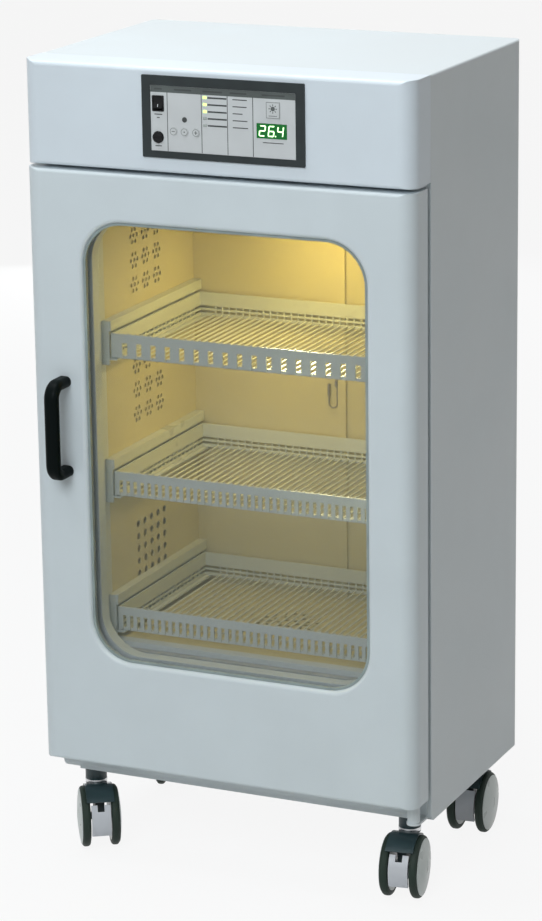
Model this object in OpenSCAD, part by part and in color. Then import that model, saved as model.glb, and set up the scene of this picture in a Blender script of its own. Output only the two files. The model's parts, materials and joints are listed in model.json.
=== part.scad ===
// Upright warming cabinet on four twin-wheel casters. Millimetres, +Z up, front towards -Y.
// The origin is on the floor, at the middle of the footprint, handle included.

/* [Body] */
// Width of the cabinet
body_w = 520; // [460:1:640]
// Depth from the door's front to the back
body_d = 366; // [340:1:460]
// Height of the housing without its casters
body_h = 944; // [900:1:1100]
// Height of the housing's underside above the floor
base_z = 99; // [98:1:112]
// Thickness of the folded sheet
sheet = 1.5; // [1.2:0.1:2]
// Width of the flanges folded on the side panels
flange_w = 22; // [16:1:26]
// Radius of the upright edges at the back
back_r = 15; // [8:1:18]
// Radius of the top edges
top_r = 3; // [2:0.5:8]
// Radius of the bottom edges seen from the side
bottom_r = 14; // [8:1:15]

/* [Head] */
// Height of the head that holds the controls
head_h = 129; // [120:1:150]
// How far the head's face stands back from the door's face
head_setback = 2.5; // [1:0.5:5]
// Wall of the moulded head
head_wall = 2.5; // [2:0.1:3]
// Radius of the upright corners of head and door
corner_r = 20; // [14:1:22]
// Radius of the head's top edge
head_top_r = 6; // [4:1:12]

/* [Door] */
// Thickness of the door
door_t = 46; // [42:1:50]
// Thickness of the seal between door and body
seal_t = 10; // [9:0.5:12]
// Gap between door and head
door_gap = 5; // [4.5:0.1:7]
// Height of the door's lower edge above the housing's underside
door_lift = 35; // [28:1:45]
// Wall of the door pan
door_wall = 1.8; // [1.5:0.1:2.5]
// Radius of the door pan's top and bottom front edges
door_edge_r = 4; // [2:0.5:6]
// Width of the window
window_w = 382; // [300:1:390]
// Height of the door's strip above the window
window_above = 62; // [50:1:110]
// Height of the window's lower edge above the door's lower edge
window_lift = 143; // [120:1:160]
// Offset of the window from the door's middle
window_x = 8; // [0:1:10]
// Radius of the window's corners
window_r = 55; // [30:1:70]
// Outer radius of the edge that is rolled in round the window
window_roll = 6; // [4:0.5:6]
// Depth of the return round the window in the pan
window_return = 7; // [6.5:0.5:9]
// Thickness of one pane
pane_t = 4; // [3:0.5:5]
// Gap between the panes
pane_gap = 12; // [8:1:14]

/* [Handle] */
// How far the handle stands in front of the door
handle_reach = 42; // [36:1:50]
// Overall length of the handle
handle_h = 130; // [110:1:160]
// Width of the grip
grip_w = 19; // [16:1:24]
// Thickness of the grip
grip_t = 14; // [13.5:0.5:18]
// Radius of the grip's long edges
grip_r = 6.5; // [3:0.5:6.5]
// Bend radius inside the handle's corners
handle_bend = 9; // [6:1:14]
// Distance of the handle from the door's left side
handle_x = 48; // [34:1:56]
// Height of the handle's middle above the door's lower edge
handle_z = 448; // [300:1:560]

/* [Hinge] */
// Distance of the door's pivot from its right side
pivot_side = 14; // [13:0.5:16]
// Distance of the door's pivot from its back
pivot_back = 14; // [13:0.5:16]
// Radius of the hinge pins
pin_r = 4; // [3:0.5:5]
// Radial clearance of a turning pin
run_gap = 0.05; // [0.02:0.01:0.08]
// Width of the hinge tongues
tongue_w = 18; // [16:1:20]

/* [Chamber] */
// Width of the chamber
chamber_w = 380; // [320:1:400]
// Height of the chamber's floor above the housing's underside
chamber_lift = 187; // [180:1:200]
// Height of the housing above the chamber's ceiling
chamber_above = 169; // [160:1:190]
// Space behind the chamber's back wall
rear_space = 36; // [30:1:50]
// Sheet of the chamber's walls
liner_t = 1.2; // [1:0.1:1.5]
// Width of the air duct beside the chamber
duct_w = 15; // [10:1:20]
// Pitch between the hole rosettes
rosette_pitch = 32; // [29:0.5:34]
// Pitch of the holes inside a rosette
rosette_hole_pitch = 9; // [7.5:0.1:9.5]
// Radius of a rosette hole
rosette_hole_r = 2.8; // [2:0.1:3]
// Radius of the holes in the lowest group
low_hole_r = 4.5; // [3:0.1:5]

/* [Baskets] */
// Height of the lowest basket's rim above the chamber's floor
basket_first = 42; // [42:1:60]
// Height of the chamber above the top basket's rim
basket_above = 184; // [150:1:200]
// Height of a basket
basket_h = 32; // [28:1:40]
// Radius of the basket wires
wire_r = 1.3; // [1:0.1:1.5]
// Pitch of the wires that run from front to back
wire_pitch = 10; // [9:0.5:14]
// Pitch of the wires at the sides
side_pitch = 12; // [10:0.5:16]
// Height of the basket's front rail
rail_h = 11; // [9:0.5:15]
// Height of the basket's rim at the back and the sides
rim_h = 18; // [10:0.5:19]
// Width of the slots in the top basket's front
wide_slot = 7.2; // [5:0.1:7.4]
// Width of the slots in the other baskets' fronts
narrow_slot = 4.8; // [3:0.1:6.4]
// Thickness of the basket's flat bars
bar_t = 2.5; // [2:0.1:3]
// Clearance of a basket in its runners
slide_gap = 0.3; // [0.2:0.1:0.6]
// Width of the upper guide of a runner
guide_w = 12; // [11:0.5:14]

/* [Panel] */
// Width of the control panel's frame
panel_w = 215.5; // [200:0.5:240]
// Height of the control panel's frame
panel_h = 100.5; // [94:0.5:104]
// Offset of the panel from the cabinet's middle
panel_x = 13.7; // [0:0.1:30]
// Height of the panel's middle above the head's lower edge
panel_z = 69; // [60:0.5:72]
// Side border of the panel's frame
panel_side = 11.8; // [10:0.1:14]
// Upper border of the panel's frame
panel_top = 12.2; // [10:0.1:14]
// Lower border of the panel's frame
panel_low = 8.5; // [7:0.1:12]
// How far the panel's frame stands out of the head
panel_out = 2.5; // [2.2:0.1:4]
// Thickness of the printed plate
plate_t = 1.2; // [0.8:0.1:1.2]
// Gap round keys and other inserts in the plate
key_gap = 0.15; // [0.1:0.01:0.2]
// Radius of a round key
key_r = 5; // [4:0.1:5.5]
// Width of the display
display_w = 39.6; // [30:0.1:42]
// Height of the display
display_h = 18; // [12:0.1:20]

/* [Casters] */
// Distance of a caster's swivel from the cabinet's side
caster_side = 37; // [36:1:45]
// Distance of the front casters' swivels from the door's front
caster_front = 75; // [72:1:90]
// Distance of the rear casters' swivels from the back
caster_back = 50; // [46:1:60]
// Radius of a wheel
wheel_r = 40; // [36:0.5:41]
// Width of one wheel
wheel_w = 15; // [12:0.5:16]
// Gap between a caster's two wheels
wheel_gap = 27; // [23:0.5:28]
// Distance from the swivel to the axle
caster_trail = 26; // [24:0.5:28]
// Radius of the axle
axle_r = 5; // [4:0.5:6]

/* [Hidden] */

$fn = 48;
eps = 0.01;
// Length by which a cutting shape runs past a face
past = 5;

white = [0.90, 0.92, 0.93];
liner_white = [0.88, 0.87, 0.80];
dark = [0.16, 0.17, 0.18];
steel = [0.62, 0.64, 0.66];
rail_grey = [0.55, 0.60, 0.63];

half_w = body_w / 2;
// Thickness of the mains inlet's flange on the back
inlet_out = 2;
door_y = (handle_reach - body_d - inlet_out) / 2;
back_y = door_y + body_d;
door_back_y = door_y + door_t;
front_y = door_back_y + seal_t;
top_z = base_z + body_h;
head_z = top_z - head_h;
door_z0 = base_z + door_lift;
door_z1 = head_z - door_gap;
window_h = door_z1 - door_z0 - window_lift - window_above;

win_cx = window_x;
win_z0 = door_z0 + window_lift;
win_cz = win_z0 + window_h / 2;
glass_y = door_y + window_return + 1.5;
unit_t = 2 * pane_t + pane_gap;
glass_margin = 14;

pivot_x = half_w - pivot_side;
pivot_y = door_back_y - pivot_back;

chamber_h = body_h - chamber_lift - chamber_above;
cham_z0 = base_z + chamber_lift;
cham_z1 = cham_z0 + chamber_h;
cham_back = back_y - rear_space;
cham_front = front_y + 16;
cham_mid = (cham_front + cham_back) / 2;
cham_hw = chamber_w / 2;
duct_out = cham_hw + liner_t + duct_w;
tray_z = cham_z1 + 27;

basket_hw = cham_hw - 11;
basket_y0 = front_y + 10;
basket_y1 = cham_back - 6;
// Height of the teeth's ends above a basket's underside
comb_lift = 1.5;
floor_bar_h = 4;
mid_bar_h = 2.5;
// Middle bar, halfway between the floor bar and the rim
mid_bar_z = (basket_h - rim_h + floor_bar_h - mid_bar_h) / 2;
// How far the wires' ends stand above the front rail
wire_end = 1.2;
basket_pitch = (chamber_h - basket_first - basket_above) / 2;
basket_levels = [for (i = [0:2]) cham_z0 + basket_first + i * basket_pitch];

fascia_y = door_y + head_setback;
pan_cz = head_z + panel_z;
pan_z0 = pan_cz - panel_h / 2;
pan_z1 = pan_cz + panel_h / 2;
plate_w = panel_w - 2 * panel_side;
plate_z0 = pan_z0 + panel_low;
plate_z1 = pan_z1 - panel_top;
plate_h = plate_z1 - plate_z0;
plate_cz = (plate_z0 + plate_z1) / 2;
ledge_t = 0.7;
plate_y = fascia_y - ledge_t - plate_t;
box_wall = 2;
box_in_w = plate_w - 5;
box_in_h = plate_h - 8;
board_y = fascia_y + 14;

// Places on the plate, from its left edge and its top edge
switch_at = [10.2, 21.9];
switch_size = [15.6, 19.4];
fuse_at = [9.8, 63];
fuse_r = 7.2;
key_row = 55;
key_cols = [30.2, 44.9, 60.3];
led_col = 72.6;
led_row = 11.5;
led_pitch = 8.45;
led_size = [4.6, 3.2];
display_at = [160.6, 47.2];
icon_at = [162.7, 21.8];
icon_size = [18, 20];

caster_x = half_w - caster_side;
caster_yf = door_y + caster_front;
caster_yr = back_y - caster_back;
// Place and heading of each caster: x, y, direction in which its axle trails
casters = [[-caster_x, caster_yf, -57], [caster_x, caster_yf, -82],
           [-caster_x, caster_yr, -70], [caster_x, caster_yr, -86]];
hood_gap = 0.8;
hood_r = wheel_r + 2.6;
collar_h = 11;
collar_r = 14;
head_top = base_z - collar_h;
wheel_side = wheel_gap / 2;

// Extrudes a shape drawn in X and Z along Y, from y0 for a length t
module along_y(y0, t) {
    translate([0, y0 + t, 0]) rotate([90, 0, 0]) linear_extrude(t) children();
}

// Extrudes a shape drawn in Y and Z along X, from x0 for a length t
module along_x(x0, t) {
    translate([x0, 0, 0]) rotate([90, 0, 90]) linear_extrude(t) children();
}

// Box from corner a to corner b
module box(a, b) {
    translate(a) cube(b - a);
}

// Rectangle from a to b with corner radii in the order low-left, low-right, high-right, high-left
module rounded(a, b, r) {
    difference() {
        translate(a) square(b - a);
        for (c = [[a, [1, 1], r[0]], [[b[0], a[1]], [-1, 1], r[1]],
                  [b, [-1, -1], r[2]], [[a[0], b[1]], [1, -1], r[3]]])
            if (c[2] > 0)
                translate(c[0]) scale_sign(c[1]) difference() {
                    translate([-1, -1]) square(c[2] + 1);
                    translate([c[2], c[2]]) circle(c[2]);
                }
    }
}

// Mirrors a shape into the quadrant given by two signs
module scale_sign(s) {
    mirror([s[0] < 0 ? 1 : 0, 0]) mirror([0, s[1] < 0 ? 1 : 0]) children();
}

// Rectangle about a middle point with one corner radius
module pad(c, size, r) {
    rounded(c - size / 2, c + size / 2, [r, r, r, r]);
}

// Outer form of the housing, taken in by g on every side
module housing_form(g) {
    intersection() {
        translate([0, 0, base_z - past]) linear_extrude(body_h + 2 * past)
            rounded([-half_w + g, front_y + g], [half_w - g, back_y - g],
                    [0, 0, back_r - g, back_r - g]);
        along_y(front_y - past, body_d)
            rounded([-half_w + g, base_z + g], [half_w - g, top_z - g],
                    [top_r - g, top_r - g, top_r - g, top_r - g]);
        along_x(-half_w - past, body_w + 2 * past)
            rounded([front_y + g, base_z + g], [back_y - g, top_z - g],
                    [bottom_r - g, bottom_r - g, top_r - g, 0]);
    }
}

// Closed sheet shell from which the panels are parted
module housing_shell() {
    difference() {
        housing_form(0);
        housing_form(sheet);
    }
}

seam_x = half_w - flange_w;
low_seam = base_z + bottom_r + 2;
high_seam = top_z - 14;

module side_panel(s) {
    intersection() {
        housing_shell();
        box([s > 0 ? seam_x : -half_w - 1, front_y - 1, base_z - 1],
            [s > 0 ? half_w + 1 : -seam_x, back_y + 1, top_z + 1]);
    }
}

module left_side_panel() {
    color(white) side_panel(-1);
}

module right_side_panel() {
    color(white) side_panel(1);
}

module top_panel() {
    color(white) intersection() {
        housing_shell();
        box([-seam_x, front_y - 1, high_seam], [seam_x, back_y + 1, top_z + 1]);
    }
}

inlet_at = [half_w - 110, base_z + 58];
inlet_size = [50, 31];
louvre_size = [5, 44];
louvre_pitch = 14;

module back_panel() {
    color(white) difference() {
        intersection() {
            housing_shell();
            box([-seam_x, back_y - back_r, low_seam], [seam_x, back_y + 1, high_seam]);
        }
        // louvres behind the electronics and at the fan
        for (z = [tray_z + louvre_size[1] / 2 + 8, base_z + 60], i = [-4:4])
            along_y(back_y - past, 2 * past)
                pad([i * louvre_pitch - half_w + 170, z], louvre_size, 2.4);
        along_y(back_y - past, 2 * past)
            pad(inlet_at, [inlet_size[0] - 20, inlet_size[1] - 8], 2);
    }
}

cross_half = 18;
cross_h = 22;
cross_sheet = 2;

module base_tray() {
    color(white) union() {
        intersection() {
            housing_shell();
            box([-seam_x, front_y - 1, base_z - 1], [seam_x, back_y + 1, low_seam]);
        }
        // cross members over the casters
        for (y = [max(caster_yf, front_y + sheet + cross_half + 0.3), caster_yr])
            difference() {
                box([-seam_x + 1, y - cross_half, base_z + sheet - 0.5],
                    [seam_x - 1, y + cross_half, base_z + cross_h]);
                box([-seam_x - 1, y - cross_half + cross_sheet, base_z + sheet],
                    [seam_x + 1, y + cross_half - cross_sheet, base_z + cross_h - cross_sheet]);
            }
    }
}

frame_flange = 1.5;

module front_frame() {
    color(white) difference() {
        union() {
            intersection() {
                housing_shell();
                box([-seam_x, front_y - 1, low_seam], [seam_x, front_y + sheet, high_seam]);
            }
            along_y(front_y, cham_front - front_y)
                pad([0, (cham_z0 + cham_z1) / 2],
                    [chamber_w + 2 * frame_flange, chamber_h + 2 * frame_flange], 0);
        }
        along_y(front_y - past, cham_front - front_y + 2 * past)
            pad([0, (cham_z0 + cham_z1) / 2], [chamber_w, chamber_h], 0);
        // opening behind the control panel
        along_y(front_y - past, 2 * past)
            pad([panel_x, pan_cz + 1], [panel_w - 4, panel_h - 4], 6);
    }
}

// Form of the head, taken in by g, up to the depth given by back
module head_form(g, back) {
    intersection() {
        translate([0, 0, head_z - past]) linear_extrude(head_h + 2 * past)
            rounded([-half_w + g, fascia_y + g], [half_w - g, back],
                    [corner_r - g, corner_r - g, 0, 0]);
        along_x(-half_w - past, body_w + 2 * past)
            rounded([fascia_y + g, head_z + g], [back, top_z - g],
                    [4 - g, 0, 0, head_top_r - g]);
    }
}

module control_fascia() {
    color(white) difference() {
        union() {
            difference() {
                head_form(0, front_y - 0.2);
                head_form(head_wall, front_y + past);
            }
            // bosses that carry the head on the frame
            for (x = [-half_w + 34, half_w - 34], z = [head_z + 16, top_z - 26])
                along_y(fascia_y + head_wall - eps, front_y - fascia_y - head_wall + eps)
                    translate([x, z]) circle(6);
        }
        along_y(fascia_y - past, 4 * past)
            pad([panel_x, plate_cz], [box_in_w + 2 * box_wall + 1, box_in_h + 2 * box_wall + 1], 2);
    }
}

// Seven holes, one in the middle and six round it
module rosette() {
    circle(rosette_hole_r);
    for (i = [0:5])
        rotate(60 * i) translate([rosette_hole_pitch, 0]) circle(rosette_hole_r);
}

// The three hole groups of a duct wall, drawn in Y and Z
module duct_holes() {
    upper = basket_levels[2] + (cham_z1 - basket_levels[2]) * 0.41;
    middle = basket_levels[2] - basket_pitch * 0.53;
    low = basket_levels[1] - basket_pitch * 0.71;
    for (z = [upper, middle], i = [-1:1], k = [-1:1])
        translate([cham_mid - 12 + i * rosette_pitch, z + k * rosette_pitch]) rosette();
    for (i = [-2:2], k = [-2:2])
        translate([cham_mid - 12 + i * 19, low + k * 16.8]) circle(low_hole_r);
}

module duct_wall(s) {
    difference() {
        box([s > 0 ? cham_hw : -cham_hw - liner_t, cham_front, cham_z0],
            [s > 0 ? cham_hw + liner_t : -cham_hw, cham_back, cham_z1]);
        along_x(s * cham_hw - past, 2 * past) duct_holes();
    }
}

module left_duct_wall() {
    color(liner_white) duct_wall(-1);
}

module right_duct_wall() {
    color(liner_white) duct_wall(1);
}

channel_x = 20;
channel_w = 11;
channel_d = 5;

module chamber_back_wall() {
    color(liner_white) union() {
        box([-duct_out, cham_back, cham_z0 - liner_t], [duct_out, cham_back + liner_t, cham_z1 + liner_t]);
        // cable channel folded up in the wall
        box([channel_x, cham_back - channel_d, cham_z0], [channel_x + channel_w, cham_back + eps, cham_z1]);
    }
}

lamp_at = [20, cham_mid + 8];

module chamber_ceiling() {
    color(liner_white) difference() {
        box([-cham_hw, cham_front, cham_z1], [cham_hw, cham_back, cham_z1 + liner_t]);
        translate([lamp_at[0], lamp_at[1], cham_z1 - past]) cylinder(r = 8, h = 2 * past);
    }
}

fan_r = 55;

module chamber_floor() {
    color(liner_white) difference() {
        box([-cham_hw, cham_front, cham_z0 - liner_t], [cham_hw, cham_back, cham_z0]);
        // air inlet over the fan
        for (n = [1:3], i = [0:6 * n - 1])
            rotate_at([0, cham_mid], 60 * i / n) translate([n * 13, 0, cham_z0 - past])
                cylinder(r = 3.5, h = 2 * past);
    }
}

// Turns its children about an upright axis through a point
module rotate_at(c, a) {
    translate([c[0], c[1], 0]) rotate([0, 0, a]) children();
}

wool = 0.3;

module insulation() {
    color([0.85, 0.80, 0.55]) union() {
        z0 = cham_z0 - 25;
        for (s = [-1, 1])
            box([s > 0 ? duct_out : -half_w + sheet + wool, cham_front + 2, z0],
                [s > 0 ? half_w - sheet - wool : -duct_out, back_y - back_r, tray_z - wool]);
        box([-duct_out + wool, cham_back + liner_t + wool, z0],
            [duct_out - wool, back_y - sheet - wool, tray_z - wool]);
        box([-duct_out + wool, cham_front + 2, cham_z1 + liner_t + 10],
            [duct_out - wool, cham_back - wool, tray_z - wool]);
        difference() {
            box([-cham_hw + 2, cham_front + 2, z0],
                [cham_hw - 2, cham_back - wool, cham_z0 - liner_t - wool]);
            translate([0, cham_mid, z0 - 1]) cylinder(r = fan_r - 8, h = 40);
        }
    }
}

guide_h = 13;
runner_sheet = 1.5;
// How far a runner's end plate hangs below the basket's rim
end_drop = 41;

// One runner on the left wall for a basket whose rim lies at z
module runner(z) {
    wall_x = -cham_hw;
    foot_z = z - basket_h - slide_gap;
    union() {
        box([wall_x, cham_front - 8, foot_z - 2], [wall_x + runner_sheet, cham_back - 1, z + 3 + guide_h]);
        // upper guide over the rim
        box([wall_x, cham_front - 8, z + 3], [wall_x + guide_w, cham_back - 1, z + 3 + guide_h]);
        // lower flange under the basket
        box([wall_x, cham_front - 8, foot_z - 2], [wall_x + 20, cham_back - 1, foot_z]);
        // end plate at the front
        box([wall_x, cham_front - 9, z - end_drop], [wall_x + 9.5, cham_front - 6, z + 3 + guide_h]);
    }
}

module basket_runners() {
    color(rail_grey)
        for (z = basket_levels) {
            runner(z);
            mirror([1, 0, 0]) runner(z);
        }
}

fan_lift = 62;
fan_z = base_z + fan_lift;
heater_rise = 16;
heater_clear = 14;
heater_r = 4;

module heater_element() {
    color(steel) union() {
        translate([0, cham_mid, fan_z + heater_rise])
            rotate_extrude() translate([fan_r + heater_clear, 0]) circle(heater_r);
        for (s = [-1, 1])
            translate([s * 20, cham_mid + fan_r + heater_clear - 3.5, base_z + sheet])
                cylinder(r = heater_r - 0.5, h = fan_z + heater_rise - base_z - sheet);
    }
}

motor_r = 32;
motor_feet = 14;

module fan_motor() {
    color(steel) union() {
        translate([0, cham_mid, base_z + sheet + motor_feet])
            cylinder(r = motor_r, h = fan_z - 4 - base_z - sheet - motor_feet);
        // shaft into the impeller's hub
        translate([0, cham_mid, fan_z - 5]) cylinder(r = 3 - run_gap, h = 15);
        for (a = [45:90:315])
            rotate_at([0, cham_mid], a) translate([motor_r - 6, 0, base_z + sheet])
                cylinder(r = 4, h = motor_feet + 1);
    }
}

module fan_impeller() {
    color(dark) translate([0, cham_mid, fan_z]) union() {
        difference() {
            union() {
                cylinder(r = fan_r, h = 2);
                cylinder(r = 12, h = 18);
            }
            translate([0, 0, -3.5]) cylinder(r = 3, h = 15);
        }
        for (i = [0:9])
            rotate([0, 0, 36 * i]) translate([20, -1, 1]) rotate([0, 0, 28]) cube([34, 1.6, 27]);
    }
}

loop_x = 6.8;
loop_w = 12;
loop_z = basket_levels[2] - 0.785 * basket_pitch;

// Wire that comes out of the channel, turns at the bottom and ends in the probe
module temperature_sensor() {
    y = cham_back - 4;
    turn_z = loop_z + loop_w / 2;
    color(steel) union() {
        translate([loop_x, y, turn_z]) cylinder(r = 1.1, h = 10);
        translate([loop_x, y, turn_z + 10]) cylinder(r = 2, h = 16);
        translate([loop_x + loop_w / 2, y, turn_z]) rotate([90, 0, 180])
            mirror([0, 1, 0]) rotate_extrude(angle = 180) translate([loop_w / 2, 0]) circle(1.1);
        translate([loop_x + loop_w, y, turn_z]) cylinder(r = 1.1, h = 24);
        // clip on the back wall
        box([loop_x + loop_w - 3, y - 2, turn_z + 24], [loop_x + loop_w - 0.2, cham_back, turn_z + 32]);
        box([loop_x + loop_w - 2.5, y - 2, turn_z + 22], [loop_x + loop_w - 0.2, y + 2, turn_z + 24.5]);
    }
}

module chamber_lamp() {
    color([1, 0.95, 0.8]) union() {
        translate([lamp_at[0], lamp_at[1], cham_z1 - 6]) cylinder(r = 30, h = 6);
        intersection() {
            translate([lamp_at[0], lamp_at[1], cham_z1 - 6 + 20]) sphere(r = 34);
            translate([lamp_at[0], lamp_at[1], cham_z1 - 30]) cylinder(r = 40, h = 24.5);
        }
    }
}

module instrument_tray() {
    color(steel) difference() {
        box([-half_w + sheet + 0.1, front_y + 3, tray_z],
            [half_w - sheet - 0.1, back_y - back_r, tray_z + 14]);
        box([-half_w, front_y + 4.5, tray_z + sheet], [half_w, back_y - back_r - sheet, tray_z + 20]);
    }
}

supply_size = [130, 98, 38];
supply_at = [-half_w + 120, cham_mid - 18, tray_z + sheet];

module power_supply() {
    p = supply_at;
    q = supply_at + supply_size;
    color([0.75, 0.76, 0.76]) difference() {
        union() {
            box(p, q);
            // terminal strip
            box([q[0] - 0.5, p[1] + 20, p[2] + 4], [q[0] + 10, q[1] - 20, p[2] + 16]);
        }
        // cooling slots
        for (i = [0:8])
            box([p[0] + 10 + i * 12, p[1] + 10, q[2] - 2], [p[0] + 16 + i * 12, q[1] - 10, q[2] + 2]);
    }
}

// Left and right edges of the board on the plate
board_x = [24, plate_w - 6];
tact_h = 4;

module control_board() {
    x0 = panel_x - plate_w / 2 + board_x[0];
    x1 = panel_x - plate_w / 2 + board_x[1];
    color([0.1, 0.35, 0.2]) union() {
        along_y(board_y, 1.6)
            pad([(x0 + x1) / 2, plate_cz], [x1 - x0, box_in_h - 4], 1);
        // display module
        along_y(fascia_y + 2, board_y - fascia_y - 2 + eps)
            pad(on_plate(display_at), [display_w - 1, display_h + 1], 0.5);
        // switches under the keys
        for (p = concat([for (x = key_cols) [x, key_row]], [icon_at]))
            along_y(board_y - tact_h, tact_h + eps) pad(on_plate(p), [6, 6], 0.5);
        // transformer, relay and connectors
        along_y(board_y + 1.5, 15) pad([panel_x - 30, plate_cz + 8], [28, 22], 1);
        along_y(board_y + 1.5, 12) pad([panel_x + 8, plate_cz + 10], [18, 15], 1);
        for (i = [0:3])
            along_y(board_y + 1.5, 10) pad([panel_x + 22 + 14 * i, plate_cz - 20], [10, 7], 0.5);
    }
}

// Place on the plate as X and Z
function on_plate(p) = [panel_x - plate_w / 2 + p[0], plate_z1 - p[1]];

module panel_bezel() {
    color(dark) union() {
        // frame in front of the head, with a ledge behind the plate
        difference() {
            along_y(fascia_y - panel_out, panel_out)
                pad([panel_x, pan_cz], [panel_w, panel_h], 1.5);
            along_y(fascia_y - panel_out - 1, panel_out + 1 - ledge_t)
                pad([panel_x, plate_cz], [plate_w + 0.2, plate_h + 0.2], 0.5);
            along_y(fascia_y - panel_out - 1, panel_out + 2)
                pad([panel_x, plate_cz], [box_in_w, box_in_h], 1);
        }
        // box that passes through the head
        difference() {
            along_y(fascia_y - 0.1, 34.1)
                pad([panel_x, plate_cz], [box_in_w + 2 * box_wall, box_in_h + 2 * box_wall], 1.5);
            along_y(fascia_y - 1, 40) pad([panel_x, plate_cz], [box_in_w, box_in_h], 1);
        }
        // posts under the board's corners
        for (x = [board_x[0] + 3, board_x[1] - 3], z = [-1, 1])
            along_y(board_y - 12, 12)
                pad([panel_x - plate_w / 2 + x, plate_cz + z * (box_in_h / 2 - 3)], [6, 6.1], 0.5);
    }
}

module panel_plate() {
    color([0.76, 0.77, 0.77]) difference() {
        along_y(plate_y, plate_t) pad([panel_x, plate_cz], [plate_w, plate_h], 0.5);
        along_y(plate_y - 1, plate_t + 2) {
            pad(on_plate(switch_at), switch_size - [1.6, 1.6], 0.5);
            translate(on_plate(fuse_at)) circle(fuse_r - 1.2);
            for (x = key_cols)
                translate(on_plate([x, key_row])) circle(key_r + key_gap);
            pad(on_plate(icon_at), icon_size + [2, 2] * key_gap, 0.5);
            pad(on_plate(display_at), [display_w, display_h] + [2, 2] * key_gap, 0.3);
            for (i = [0:4])
                pad(on_plate([led_col, led_row + i * led_pitch]), led_size + [2, 2] * key_gap, 0.2);
        }
    }
}

module display_window() {
    color([0.05, 0.45, 0.12]) along_y(plate_y - 0.3, fascia_y + 1.8 - plate_y)
        pad(on_plate(display_at), [display_w, display_h], 0.3);
}

module indicator_leds() {
    color([0.6, 0.9, 0.4])
        for (i = [0:4])
            along_y(plate_y - 0.3, board_y - plate_y + 0.3)
                pad(on_plate([led_col, led_row + i * led_pitch]), led_size, 0.2);
}

rocker_gap = 0.3;
rocker_in = switch_size - [4, 4];
rocker_deep = 5;
rocker_tilt = 8;
trunnion_r = 1.2;

module switch_housing() {
    p = on_plate(switch_at);
    color(dark) difference() {
        union() {
            along_y(plate_y - 1, 1) pad(p, switch_size, 1);
            along_y(plate_y - 0.1, 18) pad(p, switch_size - [2, 2], 0.5);
        }
        along_y(plate_y - 2, 14) pad(p, rocker_in + [2, 2] * rocker_gap, 0.4);
        // pivot holes for the rocker's trunnions
        along_x(p[0] - switch_size[0] / 2 + 1.1, switch_size[0] - 2.2)
            translate([plate_y + rocker_deep, p[1]]) circle(trunnion_r + run_gap);
    }
}

module rocker_switch() {
    p = on_plate(switch_at);
    r = rocker_in[1] / 2 - 0.9;
    color(dark) union() {
        along_x(p[0] - rocker_in[0] / 2, rocker_in[0])
            translate([plate_y + rocker_deep, p[1]]) rotate(-rocker_tilt)
                polygon([[-6.6, -r], [-5.6, 0], [-6.6, r], [-1.5, r + 0.3],
                         [2, 3], [2, -3], [-1.5, -r - 0.3]]);
        along_x(p[0] - switch_size[0] / 2 + 1.2, switch_size[0] - 2.4)
            translate([plate_y + rocker_deep, p[1]]) circle(trunnion_r);
    }
}

module fuse_holder() {
    color(dark) difference() {
        union() {
            along_y(plate_y - 1, 1) translate(on_plate(fuse_at)) circle(fuse_r);
            along_y(plate_y - eps, 28) translate(on_plate(fuse_at)) circle(fuse_r - 1.4);
        }
        along_y(plate_y - 2, 26) translate(on_plate(fuse_at)) circle(3.5 + run_gap);
    }
}

module fuse_cap() {
    color(dark) difference() {
        union() {
            along_y(plate_y - 3.6, 2.5) translate(on_plate(fuse_at)) circle(fuse_r - 0.7);
            along_y(plate_y - 1.2, 20) translate(on_plate(fuse_at)) circle(3.5);
        }
        along_y(plate_y - 4, 1.2) pad(on_plate(fuse_at), [8, 1.4], 0.2);
    }
}

key_travel = 0.5;
// Length of a key's stem, which stops short of the switch by the travel and a little more
stem_end = board_y - tact_h - key_travel - 0.1;

module round_key(i) {
    p = on_plate([key_cols[i], key_row]);
    color([0.80, 0.81, 0.82]) union() {
        along_y(plate_y - 0.9, 2.4) translate(p) circle(key_r);
        along_y(plate_y + 1, stem_end - plate_y - 1) translate(p) circle(1.8);
    }
}

module key_minus() {
    round_key(0);
}

module key_set() {
    round_key(1);
}

module key_plus() {
    round_key(2);
}

module lamp_key() {
    color([0.80, 0.81, 0.80]) union() {
        along_y(plate_y - 0.9, 2.4) pad(on_plate(icon_at), icon_size, 0.4);
        along_y(plate_y + 1, stem_end - plate_y - 1) translate(on_plate(icon_at)) circle(1.8);
    }
}

module mains_inlet() {
    color(dark) difference() {
        union() {
            along_y(back_y, inlet_out) pad(inlet_at, inlet_size, 2);
            along_y(back_y - 24, 24 + eps)
                pad(inlet_at, [inlet_size[0] - 22, inlet_size[1] - 10], 1.5);
        }
        difference() {
            along_y(back_y - 16, 20) pad(inlet_at, [inlet_size[0] - 26, inlet_size[1] - 15], 2);
            // three flat pins
            for (x = [-7, 0, 7])
                along_y(back_y - 17, 13) pad(inlet_at + [x, x == 0 ? 2 : -2], [2, 4], 0.2);
        }
    }
}

tongue_t = 3;
lower_z = base_z + 6;
tongue_reach = 10;
hinge_flange = 2;
upper_z = door_z1 + 1;

// Tongue drawn in plan, from the body's front plane to a round end about the pivot
module tongue_plan(back) {
    translate([pivot_x, pivot_y]) circle(tongue_w / 2);
    translate([pivot_x - tongue_w / 2, pivot_y]) square([tongue_w, back - pivot_y]);
}

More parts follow.
